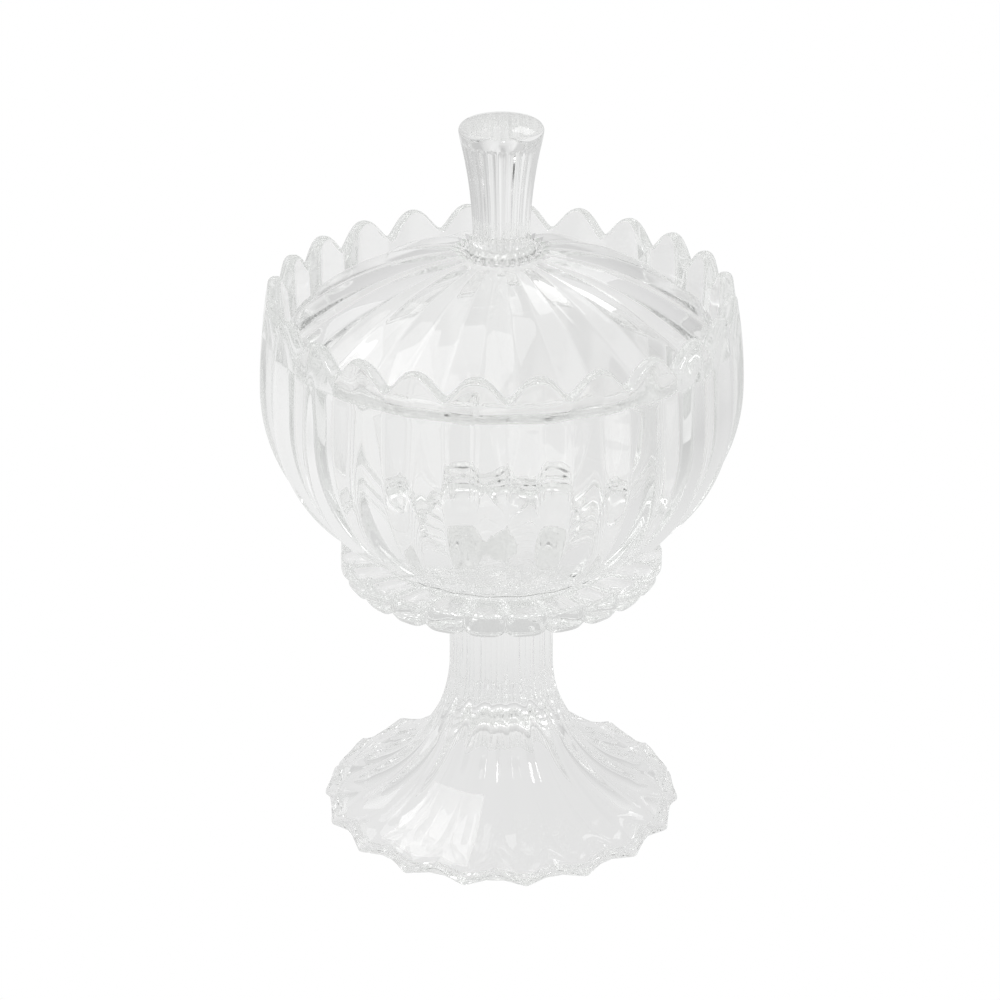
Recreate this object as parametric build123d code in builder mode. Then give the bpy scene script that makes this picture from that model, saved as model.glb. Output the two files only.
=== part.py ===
"""Footed powder jar in clear pressed glass: a fluted bowl bonded to a fluted pedestal, with a domed lid.

The origin is at the middle of the foot's underside and +Z is up.
All sizes are in millimetres, and all angles in degrees.
"""

from build123d import *
import os
from math import acos, asin, cos, degrees, radians, sin, sqrt, tan

# ---- Pedestal: foot, flare and stem ----
foot_r = 46.9  # at the pointed tips of its edge
foot_edge_height = 3.5
foot_flutes = 18
foot_flute_share = 0.043  # depth of its hollow flutes, as a share of the radius
foot_clocking = -3.4  # of the foot's tips, from the bowl's grooves
foot_ring_width = 3.9  # of the flat ring that the jar stands on
foot_wall = 4.0
stem_waist_r = 13.5
stem_waist_z = 43.0  # where the flare ends
stem_straight = 15.0  # height of the straight stem above it
stem_top_r = 14.4
stem_height = 65.8
hollow_height = 29.0
hollow_crown_angle = 34.0  # where the hollow's flared wall turns into its crown

# ---- Bonded joints ----
bond_thickness = 0.2  # of the clear adhesive

# ---- Bowl ----
bowl_flutes = 24
bowl_flute_share = 0.021  # depth of its grooves, as a share of the radius
bowl_height = 81.0  # from the bonded face under it to the tips of its rim
belly_r = 61.4
belly_drop = 25.0  # of the widest part, below the tips of the rim
neck_draw = 31.8  # how far the bowl's side draws in, from its belly to the top of its collar
rim_r = 59.0
rim_wall = 3.3
rim_draft = 1.5  # how far the inner wall draws in from the rim to the lid's seat
scallop_slope = 48.0  # of the flanks between the rim's tips
scallop_round = 4.2
scallop_flat = 1.4  # left flat on each tip
floor_thickness = 13.0  # above the bonded face
inner_straight = 14.0  # height of the straight inner wall, below the seat
inner_draft = 0.3  # how far that wall draws in
floor_r = 20.0
collar_shelf = 12.0  # how far the collar stands out from the bowl's side
collar_rise = 2.6  # of the collar's lower edge, above the bonded face
collar_height = 7.0
collar_flute_share = 0.03
collar_lower_draw = 1.4  # how far its lower edge draws in
collar_lower_height = 1.8
collar_upper_draw = 0.8
collar_upper_height = 0.8

# ---- Lid ----
seat_drop = 13.0  # of the seat, below the tips of the rim
seat_width = 2.6
lid_side_clearance = 0.6
flange_thickness = 1.6
flange_width = 2.2
flange_round = 0.5
dome_flutes = 16
dome_flute_depth = 1.3  # at the dome's edge, square to its surface
dome_clocking = 3.5
dome_rise = 20.0  # of the knob's seat, above the flange
dome_wall = 3.6

# ---- Knob ----
knob_height = 35.7
knob_flutes = 24
knob_flute_share = 0.045  # depth of its grooves, as a share of the radius
knob_foot_r = 9.0  # where it is bonded to the lid
knob_lip_r = 11.3  # of the skirt's lower edge, which stands clear of the lid
knob_lip_height = 0.9
knob_skirt_height = 3.6
knob_waist_r = 7.2
knob_top_r = 10.8
knob_crown = 3.0  # rise of its domed top
knob_seat_margin = 0.8  # of the lid's flat seat, outside the skirt's lower edge

# ---- Blank label inside the foot ----
label_thickness = 0.12
label_gap = 0.02
label_low_angle = 72.0  # its lower and upper edges, along the flared wall of the hollow
label_high_angle = 44.0
label_sweep = 38.0
label_middle = -123.0

# ---- Worked out ----
spare = 2.0  # how far a cutting shape runs past what it cuts
bowl_z = stem_height + bond_thickness
rim_z = bowl_z + bowl_height
belly_z = rim_z - belly_drop
neck_r = belly_r - neck_draw
collar_r = neck_r + collar_shelf
collar_z = bowl_z + collar_rise
collar_top_z = collar_z + collar_height
floor_z = bowl_z + floor_thickness
seat_z = rim_z - seat_drop
rim_inner_r = rim_r - rim_wall
seat_outer_r = rim_inner_r - rim_draft
seat_inner_r = seat_outer_r - seat_width
flange_r = seat_outer_r - lid_side_clearance
flange_top_z = seat_z + flange_thickness
knob_seat_z = flange_top_z + dome_rise
knob_seat_r = knob_lip_r + knob_seat_margin
knob_z = knob_seat_z + bond_thickness
knob_top_z = knob_z + knob_height
knob_edge_z = knob_top_z - knob_crown


def arc_radius(run, offset):
    """The radius of an arc that starts along a line and has left it by the offset after the run."""
    return (run**2 + offset**2) / (2 * offset)


def around(radius, angle):
    """The point at a radius and an angle about the Z axis."""
    return (radius * cos(radians(angle)), radius * sin(radians(angle)))


def zigzag_outline(ridge_r, groove_r, count, turn=0.0):
    """Fills a closed zigzag in the open sketch: straight flanks from each groove to the ridges beside it."""
    pitch = 360 / count
    points = []
    for flute in range(count):
        points.append(around(groove_r, turn + flute * pitch))
        points.append(around(ridge_r, turn + (flute + 0.5) * pitch))
    with BuildLine() as outline:
        Polyline(*points, close=True)
    make_face(outline.edges())


def lobed_outline(end_r, middle_r, count, turn=0.0):
    """Fills a ring of arcs in the open sketch: hollow flutes where their middles lie inside, else lobes."""
    pitch = 360 / count
    with BuildLine() as outline:
        for flute in range(count):
            start = turn + flute * pitch
            ThreePointArc(
                around(end_r, start),
                around(middle_r, start + pitch / 2),
                around(end_r, start + pitch),
            )
    make_face(outline.edges())


def steps(first, last, count):
    """Evenly spaced values, both ends included."""
    return [first + (last - first) * step / (count - 1) for step in range(count)]


os.makedirs("parts", exist_ok=True)

# ---- Pedestal ----
stem_flare_z = stem_waist_z + stem_straight
stem_rise = stem_height - stem_flare_z
stem_arc_r = arc_radius(stem_rise, stem_top_r - stem_waist_r)
stem_end_angle = degrees(asin(stem_rise / stem_arc_r))
foot_drop = stem_waist_z - foot_edge_height
foot_arc_r = arc_radius(foot_drop, foot_r - stem_waist_r)
foot_end_angle = degrees(asin(foot_drop / foot_arc_r))
flare_centre_r = stem_waist_r + foot_arc_r
hollow_arc_r = foot_arc_r + foot_wall
foot_ring_r = foot_r - foot_ring_width
hollow_foot_angle = degrees(acos((flare_centre_r - foot_ring_r) / hollow_arc_r))


def hollow_point(angle, inset=0.0):
    """A point on the hollow's flared wall, or set in from it, as radius and height."""
    reach = hollow_arc_r + inset
    return (flare_centre_r - reach * cos(radians(angle)), stem_waist_z - reach * sin(radians(angle)))


with BuildPart() as pedestal:
    for height in (0, foot_edge_height):
        with BuildSketch(Plane.XY.offset(height)):
            lobed_outline(foot_r, foot_r * (1 - foot_flute_share), foot_flutes, foot_clocking)
    loft(ruled=True)
    for angle in steps(foot_end_angle, 0, 10):
        radius = flare_centre_r - foot_arc_r * cos(radians(angle))
        with BuildSketch(Plane.XY.offset(stem_waist_z - foot_arc_r * sin(radians(angle)))):
            lobed_outline(radius, radius * (1 - foot_flute_share), foot_flutes, foot_clocking)
    for angle in steps(0, stem_end_angle, 3):
        radius = stem_waist_r + stem_arc_r * (1 - cos(radians(angle)))
        with BuildSketch(Plane.XY.offset(stem_flare_z + stem_arc_r * sin(radians(angle)))):
            lobed_outline(radius, radius * (1 - foot_flute_share), foot_flutes, foot_clocking)
    loft()
    hollow_foot = hollow_point(hollow_foot_angle)
    hollow_crown = hollow_point(hollow_crown_angle)
    with BuildSketch(Plane.XZ):
        with BuildLine():
            Line((0, -spare), (foot_ring_r, -spare))
            Line((foot_ring_r, -spare), hollow_foot)
            ThreePointArc(
                hollow_foot,
                hollow_point((hollow_foot_angle + hollow_crown_angle) / 2),
                hollow_crown,
            )
            TangentArc((0, hollow_height), hollow_crown, tangent=(1, 0))
            Line((0, hollow_height), (0, -spare))
        make_face()
    revolve(axis=Axis.Z, mode=Mode.SUBTRACT)
pedestal.part.label = "pedestal"
export_step(pedestal.part, "parts/pedestal.step")

# ---- Adhesive between the stem and the bowl ----
with BuildPart() as stem_bond:
    with BuildSketch(Plane.XY.offset(stem_height)):
        Circle(stem_top_r * (1 - foot_flute_share))
    extrude(amount=bond_thickness)
stem_bond.part.label = "stem_bond"
export_step(stem_bond.part, "parts/stem_bond.step")

# ---- Bowl ----
upper_arc_r = arc_radius(belly_drop, belly_r - rim_r)
upper_angle = degrees(asin(belly_drop / upper_arc_r))
lower_arc_r = arc_radius(belly_z - collar_top_z, belly_r - neck_r)
lower_angle = degrees(asin((belly_z - collar_top_z + spare) / lower_arc_r))
side_levels = []
for angle in steps(lower_angle, 0, 9):
    height = belly_z - lower_arc_r * sin(radians(angle))
    side_levels.append((height, belly_r - lower_arc_r * (1 - cos(radians(angle)))))
for angle in steps(0, upper_angle, 5)[1:]:
    height = belly_z + upper_arc_r * sin(radians(angle))
    side_levels.append((height, belly_r - upper_arc_r * (1 - cos(radians(angle)))))
inner_low_z = seat_z - inner_straight
inner_low_r = seat_inner_r - inner_draft
inner_drop = inner_low_z - floor_z
inner_arc_r = arc_radius(inner_drop, inner_low_r - floor_r)
inner_centre_r = inner_low_r - inner_arc_r
inner_middle = asin(inner_drop / inner_arc_r) / 2
ridge_pitch = 360 / bowl_flutes


def scallop_notch():
    """Fills one notch between two tips of the rim in the open sketch, which faces out from the axis."""
    half_pitch = rim_r * sin(radians(ridge_pitch / 2))
    slope = radians(scallop_slope)
    flat_angle = asin(scallop_flat / 2 / scallop_round)
    centre_z = rim_z - scallop_round * cos(flat_angle)
    flank_x = half_pitch - scallop_round * sin(slope)
    flank_z = centre_z + scallop_round * cos(slope)
    middle = (slope + flat_angle) / 2
    edge_x = half_pitch - scallop_flat / 2
    with BuildLine() as outline:
        Line((0, flank_z - flank_x * tan(slope)), (flank_x, flank_z))
        ThreePointArc(
            (flank_x, flank_z),
            (half_pitch - scallop_round * sin(middle), centre_z + scallop_round * cos(middle)),
            (edge_x, rim_z),
        )
        Line((edge_x, rim_z), (edge_x, rim_z + spare))
        Line((edge_x, rim_z + spare), (0, rim_z + spare))
        mirror(about=Plane.YZ)
    make_face(outline.edges())


with BuildPart() as bowl:
    for height, radius in side_levels:
        with BuildSketch(Plane.XY.offset(height)):
            zigzag_outline(radius, radius * (1 - bowl_flute_share), bowl_flutes)
    loft()
    collar_levels = (
        (collar_z, collar_r - collar_lower_draw),
        (collar_z + collar_lower_height, collar_r),
        (collar_top_z - collar_upper_height, collar_r),
        (collar_top_z, collar_r - collar_upper_draw),
    )
    for height, radius in collar_levels:
        with BuildSketch(Plane.XY.offset(height)):
            lobed_outline(radius * (1 - collar_flute_share), radius, bowl_flutes)
    loft(ruled=True)
    with BuildSketch(Plane.XZ):
        with BuildLine():
            under_r = (collar_r - collar_lower_draw) * (1 - collar_flute_share) - spare
            Polyline(
                (0, bowl_z),
                (stem_top_r, bowl_z),
                (under_r, collar_z),
                (under_r, collar_z + spare),
                (0, collar_z + spare),
                close=True,
            )
        make_face()
    revolve(axis=Axis.Z)
    with BuildSketch(Plane.XZ):
        with BuildLine():
            Line((0, floor_z), (floor_r, floor_z))
            ThreePointArc(
                (floor_r, floor_z),
                (
                    inner_centre_r + inner_arc_r * cos(inner_middle),
                    inner_low_z - inner_arc_r * sin(inner_middle),
                ),
                (inner_low_r, inner_low_z),
            )
            Polyline(
                (inner_low_r, inner_low_z),
                (seat_inner_r, seat_z),
                (seat_outer_r, seat_z),
                (rim_inner_r, rim_z),
                (rim_inner_r, rim_z + spare),
                (0, rim_z + spare),
                (0, floor_z),
            )
        make_face()
    revolve(axis=Axis.Z, mode=Mode.SUBTRACT)
    notch_reach = seat_outer_r - spare
    for flute in range(bowl_flutes):
        facing = flute * ridge_pitch
        outward = around(1, facing)
        notch_plane = Plane(
            origin=around(notch_reach, facing),
            x_dir=around(1, facing + 90),
            z_dir=outward,
        )
        with BuildSketch(notch_plane):
            scallop_notch()
    extrude(amount=rim_r - notch_reach + spare, mode=Mode.SUBTRACT)
bowl.part.label = "bowl"
export_step(bowl.part, "parts/bowl.step")

# ---- Lid ----
dome_r = flange_r - flange_width
dome_drop = (dome_r**2 - knob_seat_r**2 - dome_rise**2) / (2 * dome_rise)  # of its centre, below the flange
dome_arc_r = sqrt(dome_r**2 + dome_drop**2)
dome_centre_z = flange_top_z - dome_drop
dome_inner_r = dome_arc_r - dome_wall
groove_inset = dome_flute_depth * dome_arc_r / dome_r
edge_angle = degrees(asin((flange_top_z - spare / 2 - dome_centre_z) / dome_arc_r))
seat_angle = degrees(asin((knob_seat_z - dome_centre_z) / dome_arc_r))

with BuildPart() as lid:
    with BuildSketch(Plane.XY.offset(seat_z)):
        Circle(flange_r)
    extrude(amount=flange_thickness)
    rims = lid.edges().filter_by(GeomType.CIRCLE)
    fillet(rims, radius=flange_round)
    for angle in steps(edge_angle, seat_angle, 8):
        radius = dome_arc_r * cos(radians(angle))
        with BuildSketch(Plane.XY.offset(dome_centre_z + dome_arc_r * sin(radians(angle)))):
            zigzag_outline(radius, radius - groove_inset, dome_flutes, dome_clocking)
    loft()
    with BuildSketch(Plane.XZ):
        with BuildLine():
            hollow_r = sqrt(dome_inner_r**2 - (seat_z - dome_centre_z) ** 2)
            middle = (degrees(asin((seat_z - dome_centre_z) / dome_inner_r)) + 90) / 2
            Line((0, seat_z - spare), (hollow_r, seat_z - spare))
            Line((hollow_r, seat_z - spare), (hollow_r, seat_z))
            ThreePointArc(
                (hollow_r, seat_z),
                (
                    dome_inner_r * cos(radians(middle)),
                    dome_centre_z + dome_inner_r * sin(radians(middle)),
                ),
                (0, dome_centre_z + dome_inner_r),
            )
            Line((0, dome_centre_z + dome_inner_r), (0, seat_z - spare))
        make_face()
    revolve(axis=Axis.Z, mode=Mode.SUBTRACT)
lid.part.label = "lid"
export_step(lid.part, "parts/lid.step")

# ---- Adhesive between the lid and its knob ----
with BuildPart() as knob_bond:
    with BuildSketch(Plane.XY.offset(knob_seat_z)):
        Circle(knob_foot_r * (1 - knob_flute_share))
    extrude(amount=bond_thickness)
knob_bond.part.label = "knob_bond"
export_step(knob_bond.part, "parts/knob_bond.step")

# ---- Knob ----
knob_waist_z = knob_z + knob_skirt_height
shaft_arc_r = arc_radius(knob_edge_z - knob_waist_z, knob_top_r - knob_waist_r)
crown_arc_r = arc_radius(knob_top_r, knob_crown)
skirt_levels = (
    (knob_z, knob_foot_r),
    (knob_z + knob_lip_height, knob_lip_r),
    (knob_waist_z, knob_waist_r),
)

with BuildPart() as lid_knob:
    for height, radius in skirt_levels:
        with BuildSketch(Plane.XY.offset(height)):
            zigzag_outline(radius, radius * (1 - knob_flute_share), knob_flutes)
    loft(ruled=True)
    for height in steps(knob_waist_z, knob_top_z, 6):
        radius = knob_waist_r + shaft_arc_r - sqrt(shaft_arc_r**2 - (height - knob_waist_z) ** 2)
        with BuildSketch(Plane.XY.offset(height)):
            zigzag_outline(radius, radius * (1 - knob_flute_share), knob_flutes)
    loft()
    with BuildSketch(Plane.XZ):
        with BuildLine():
            outer_r = knob_lip_r + spare
            crown_drop = crown_arc_r - sqrt(crown_arc_r**2 - (knob_top_r / 2) ** 2)
            Polyline(
                (0, knob_top_z),
                (0, knob_z),
                (outer_r, knob_z),
                (outer_r, knob_edge_z),
                (knob_top_r, knob_edge_z),
            )
            ThreePointArc(
                (knob_top_r, knob_edge_z),
                (knob_top_r / 2, knob_top_z - crown_drop),
                (0, knob_top_z),
            )
        make_face()
    revolve(axis=Axis.Z, mode=Mode.INTERSECT)
lid_knob.part.label = "lid_knob"
export_step(lid_knob.part, "parts/lid_knob.step")

# ---- Blank label, stuck to the hollow's wall ----
label_faces = (label_gap, label_gap + label_thickness)
label_middle_angle = (label_low_angle + label_high_angle) / 2

with BuildPart() as blank_label:
    with BuildSketch(Plane.XZ.rotated((0, 0, label_middle - label_sweep / 2))):
        with BuildLine():
            for inset in label_faces:
                ThreePointArc(
                    hollow_point(label_low_angle, inset),
                    hollow_point(label_middle_angle, inset),
                    hollow_point(label_high_angle, inset),
                )
            for angle in (label_low_angle, label_high_angle):
                Line(hollow_point(angle, label_faces[0]), hollow_point(angle, label_faces[1]))
        make_face()
    revolve(axis=Axis.Z, revolution_arc=label_sweep)
blank_label.part.label = "blank_label"
export_step(blank_label.part, "parts/blank_label.step")
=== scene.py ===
"""Looks of a footed powder jar in clear pressed glass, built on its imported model.

The jar's sizes are in millimetres and degrees, and the studio's in metres. Every mesh ends up in
metres.
"""

import logging
import math
from dataclasses import dataclass
from enum import Enum
from functools import cached_property
from typing import Any, ClassVar, Sequence

import bmesh
import bpy
from mathutils import Matrix, Vector


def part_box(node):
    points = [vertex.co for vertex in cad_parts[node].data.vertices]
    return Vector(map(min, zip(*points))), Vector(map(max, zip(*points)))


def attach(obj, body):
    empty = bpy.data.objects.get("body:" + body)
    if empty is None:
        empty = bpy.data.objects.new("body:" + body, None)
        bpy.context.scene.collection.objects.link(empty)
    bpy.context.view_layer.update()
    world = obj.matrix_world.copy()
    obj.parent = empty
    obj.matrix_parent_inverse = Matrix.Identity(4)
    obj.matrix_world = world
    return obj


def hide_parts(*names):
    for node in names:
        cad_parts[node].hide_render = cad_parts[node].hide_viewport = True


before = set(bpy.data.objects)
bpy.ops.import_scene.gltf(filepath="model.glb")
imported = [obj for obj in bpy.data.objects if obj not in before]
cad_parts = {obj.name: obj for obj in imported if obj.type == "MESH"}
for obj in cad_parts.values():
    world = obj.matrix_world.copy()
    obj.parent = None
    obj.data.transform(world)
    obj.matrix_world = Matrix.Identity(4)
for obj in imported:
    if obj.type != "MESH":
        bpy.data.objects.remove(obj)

LOG = logging.getLogger("powder_jar")
MM = 0.001
TURN = 2 * math.pi
QUARTER = 90.0
CENTRE = (0.0, 0.0, 0.0)
UPRIGHT = (0.0, 0.0, 1.0)
SIDEWAYS = (0.0, 1.0, 0.0)
ON_AXIS = 1e-4  # a point nearer to the axis than this isn't cut
MERGE_GAP = 1e-3  # points nearer to each other than this become one


class Body(str, Enum):
    """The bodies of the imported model."""

    BASE = "base"
    LID = "lid"


class Cut(str, Enum):
    """The cuts that a point of a section can take, each stored as a share from 0 to 1."""

    FLUTES = "flutes"
    LOBES = "lobes"
    SCALLOPS = "scallops"
    TIPS = "tips"
    ARCHES = "arches"


Cuts = dict[Cut, float]
Colour = tuple[float, float, float]
Pair = tuple[float, float]
Point = tuple[float, float]  # in a section: radius and height


# ---------------------------------------------------------------- shader helpers


class Wire:
    """A node socket that can be used in sums, so that shader maths reads as plain expressions."""

    def __init__(self, desk: "NodeDesk", socket: bpy.types.NodeSocket | None) -> None:
        """Wraps an output socket of a desk's node, or None for a node that has none."""
        self.desk = desk
        self.socket = socket

    def _maths(self, operation: str, *values: Any) -> "Wire":
        """Adds one Math node, whose inputs are wires or numbers, and gives its output."""
        return self.desk.node("ShaderNodeMath", {"operation": operation}, dict(enumerate(values)))

    def __add__(self, other: Any) -> "Wire":
        """The sum."""
        return self._maths("ADD", self, other)

    __radd__ = __add__

    def __sub__(self, other: Any) -> "Wire":
        """The difference."""
        return self._maths("SUBTRACT", self, other)

    def __rsub__(self, other: Any) -> "Wire":
        """The difference, reflected."""
        return self._maths("SUBTRACT", other, self)

    def __mul__(self, other: Any) -> "Wire":
        """The product."""
        return self._maths("MULTIPLY", self, other)

    __rmul__ = __mul__


class NodeDesk:
    """Makes the nodes of one material or world."""

    def __init__(self, tree: bpy.types.NodeTree) -> None:
        """Takes a node tree to fill, and clears it to start from nothing."""
        self.tree = tree
        tree.nodes.clear()

    def node(
        self,
        kind: str,
        settings: dict[str, Any] | None = None,
        inputs: dict[str | int, Any] | None = None,
        output: str | int = 0,
    ) -> Wire:
        """Adds a node.

        Args:
            kind: the node's type.
            settings: its properties, set first. "stops" fills a colour ramp.
            inputs: values or wires by socket name or number.
            output: the name or number of the output that is wanted.

        Returns:
            That output.
        """
        made = self.tree.nodes.new(kind)
        for name, value in (settings or {}).items():
            if name == "stops":
                self._fill_ramp(made.color_ramp, value)
            else:
                setattr(made, name, value)
        for name, value in (inputs or {}).items():
            if isinstance(value, Wire):
                self.tree.links.new(value.socket, made.inputs[name])
            else:
                made.inputs[name].default_value = value
        return Wire(self, made.outputs[output] if len(made.outputs) else None)

    @staticmethod
    def _fill_ramp(ramp: bpy.types.ColorRamp, stops: Sequence[Pair]) -> None:
        """Sets a ramp's stops.

        Args:
            ramp: the ramp.
            stops: position and grey level of each.
        """
        while len(ramp.elements) < len(stops):
            ramp.elements.new(1.0)
        for element, (place, level) in zip(ramp.elements, stops):
            element.position = place
            element.color = (level, level, level, 1.0)

    def noise(self, place: Wire, scale: float, detail: float) -> Wire:
        """Adds a noise from 0 to 1, with a scale in blots to the metre."""
        inputs = {"Vector": place, "Scale": scale, "Detail": detail}
        return self.node("ShaderNodeTexNoise", inputs=inputs)

    def mix(self, share: Wire, first: Colour, second: Colour) -> Wire:
        """Mixes two colours by the share of the second."""
        colours = {0: share, 6: (*first, 1.0), 7: (*second, 1.0)}
        return self.node("ShaderNodeMix", {"data_type": "RGBA"}, colours, output=2)

    def soft_step(self, value: Wire, span: Pair, levels: Pair) -> Wire:
        """Goes smoothly from one level to another as a value crosses a span."""
        inputs = {0: value, 1: span[0], 2: span[1], 3: levels[0], 4: levels[1]}
        return self.node("ShaderNodeMapRange", {"interpolation_type": "SMOOTHSTEP"}, inputs)


def new_material(name: str) -> tuple[bpy.types.Material, NodeDesk]:
    """Makes an empty material.

    Args:
        name: of the material.

    Returns:
        The material, and the desk for its nodes.
    """
    made = bpy.data.materials.new(name)
    made.use_nodes = True
    return made, NodeDesk(made.node_tree)


# ---------------------------------------------------------------- finishes


@dataclass(frozen=True)
class GlassFinish:
    """Clear pressed glass with a faint grey-green body, softly uneven from its mould."""

    name: str
    tint: Colour = (0.992, 0.992, 0.99)
    shade: Colour = (0.978, 0.98, 0.976)
    cloud_scale: float = 30.0
    cloud_detail: float = 2.0
    refraction: float = 1.5
    roughness: float = 0.0
    ripple_size: float = 9.0
    ripple_detail: float = 1.0
    ripple_depth: float = 0.01
    ripple_height: float = 1.0
    body_colour: Colour = (0.9, 0.92, 0.9)
    body_density: float = 3.0

    def material(self) -> bpy.types.Material:
        """Builds the material.

        Returns:
            The finished material.
        """
        made, desk = new_material(self.name)
        place = desk.node("ShaderNodeTexCoord", output="Object")
        ripple = desk.noise(place, 1 / (self.ripple_size * MM), self.ripple_detail)
        cloud = desk.noise(place, self.cloud_scale, self.cloud_detail)
        bump = desk.node(
            "ShaderNodeBump",
            inputs={
                "Strength": self.ripple_depth,
                "Distance": self.ripple_height * MM,
                "Height": ripple,
            },
        )
        glass = desk.node(
            "ShaderNodeBsdfPrincipled",
            inputs={
                "Base Color": desk.mix(cloud, self.tint, self.shade),
                "Roughness": self.roughness,
                "IOR": self.refraction,
                "Transmission Weight": 1.0,
                "Normal": bump,
            },
        )
        body = desk.node(
            "ShaderNodeVolumeAbsorption",
            inputs={"Color": (*self.body_colour, 1.0), "Density": self.body_density},
        )
        desk.node("ShaderNodeOutputMaterial", inputs={"Surface": glass, "Volume": body})
        return made


@dataclass(frozen=True)
class PaperFinish:
    """Thin matt film of the blank label, which lets light through; its faint glow is painted light,
    a constant emission.
    """

    name: str
    colour: Colour = (1.0, 1.0, 1.0)
    mottle: Colour = (0.97, 0.97, 0.97)
    roughness: float = 0.6
    cover: float = 0.38
    # painted light: a constant white emission that brightens the label, which is no lamp
    glow: float = 0.35
    fibre_size: float = 0.6
    fibre_detail: float = 3.0
    fibre_depth: float = 0.1
    fibre_height: float = 0.1

    def material(self) -> bpy.types.Material:
        """Builds the material.

        Returns:
            The finished material.
        """
        made, desk = new_material(self.name)
        place = desk.node("ShaderNodeTexCoord", output="Object")
        fibre = desk.noise(place, 1 / (self.fibre_size * MM), self.fibre_detail)
        bump = desk.node(
            "ShaderNodeBump",
            inputs={
                "Strength": self.fibre_depth,
                "Distance": self.fibre_height * MM,
                "Height": fibre,
            },
        )
        film = desk.node(
            "ShaderNodeBsdfPrincipled",
            inputs={
                "Base Color": desk.mix(fibre, self.colour, self.mottle),
                "Roughness": self.roughness,
                "Alpha": self.cover,
                # painted glow: a constant emission that lightens the label
                "Emission Color": (1.0, 1.0, 1.0, 1.0),
                "Emission Strength": self.glow,
                "Normal": bump,
            },
        )
        desk.node("ShaderNodeOutputMaterial", inputs={"Surface": film})
        return made


@dataclass(frozen=True)
class TableFinish:
    """Pale lit table top: a painted pool of light under the jar that fades to both sides.

    What lies behind the glass is a little dimmer than the bare table, with a painted shadow close
    round the jar. The pool's stops go from the left edge of its reach to the right.
    """

    name: str = "pale_table"
    bare: float = 1.0
    reach: float = 0.5
    # painted pool of light: emission level across the table, brightest under the jar
    painted_light_pool: tuple[Pair, ...] = (
        (0.0, 0.68),
        (0.3, 0.92),
        (0.45, 0.87),
        (0.6, 0.8),
        (0.8, 0.66),
        (1.0, 0.58),
    )
    # painted shadow: the table seen through the glass darkens close round the jar
    contact: Pair = (0.03, 0.13)
    contact_shade: float = 0.93

    def material(self) -> bpy.types.Material:
        """Builds the material.

        Returns:
            The finished material.
        """
        made, desk = new_material(self.name)
        place = desk.node("ShaderNodeTexCoord", output="Object")
        across = desk.node("ShaderNodeSeparateXYZ", inputs={0: place}, output="X")
        # painted pool of light: brighter under the jar, dimmer to both sides
        level = desk.node(
            "ShaderNodeValToRGB", {"stops": self.painted_light_pool}, {0: across * (0.5 / self.reach) + 0.5}
        )
        far = desk.node(
            "ShaderNodeVectorMath", {"operation": "LENGTH"}, {0: place}, output="Value"
        )
        # painted shadow round the jar's foot
        shade = desk.soft_step(far, self.contact, (self.contact_shade, 1.0))
        behind_glass = desk.node("ShaderNodeEmission", inputs={"Strength": level * shade})
        seen_bare = desk.node("ShaderNodeEmission", inputs={"Strength": self.bare})
        bare = desk.node("ShaderNodeLightPath", output="Is Camera Ray")
        table = desk.node("ShaderNodeMixShader", inputs={0: bare, 1: behind_glass, 2: seen_bare})
        desk.node("ShaderNodeOutputMaterial", inputs={"Surface": table})
        return made


# ---------------------------------------------------------------- modelling helpers


def arc_radius(run: float, draw: float) -> float:
    """The radius of an arc that starts along its run and has left that line by its draw."""
    return (run**2 + draw**2) / (2 * draw)


def on_circle(centre: Point, radius: float, angle: float) -> Point:
    """The point of a circle at an angle in radians, or for a negative radius the opposite one."""
    return centre[0] + radius * math.cos(angle), centre[1] + radius * math.sin(angle)


@dataclass(frozen=True)
class Spot:
    """One point of a spun section, uncut, with its angle from a groove in radians."""

    angle: float
    radius: float
    height: float
    cuts: Cuts


@dataclass(frozen=True)
class FluteCutter:
    """Flutes all round a piece, each running from one groove to the next.

    Shares are of half the pitch: the outer ridge_round of it is rounded, and the inner
    groove_round of it. Crowding is how strongly the columns gather at ridges and grooves.
    """

    count: int
    columns: int
    ridge_round: float = 0.2
    groove_round: float = 0.04
    crowding: float = 0.75

    @property
    def pitch(self) -> float:
        """The angle from groove to groove, in radians."""
        return TURN / self.count

    @property
    def steps(self) -> int:
        """How many columns the whole turn has."""
        return self.count * self.columns

    def rise(self, angle: float) -> float:
        """How high the surface stands at an angle.

        Args:
            angle: from a groove, in radians.

        Returns:
            0 in a groove and 1 on a ridge.
        """
        part = 1 - abs(2 * ((angle / self.pitch) % 1) - 1)
        ridge, groove = self.ridge_round, self.groove_round
        slope = 1 / (1 - (ridge + groove) / 2)
        if part < groove:
            return slope * part * part / (2 * groove)
        past = max(0.0, part - (1 - ridge))
        return slope * (part - groove / 2 - past * past / (2 * ridge))

    def crowd(self, angle: float) -> float:
        """Moves a column towards the ridge or groove that it is near, where the surface turns most.

        Args:
            angle: of an evenly spaced column, in radians.

        Returns:
            Its new angle.
        """
        half = self.pitch / 2
        whole, part = divmod(angle / half, 1)
        part -= self.crowding * math.sin(TURN * part) / TURN
        return (whole + part) * half


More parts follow.
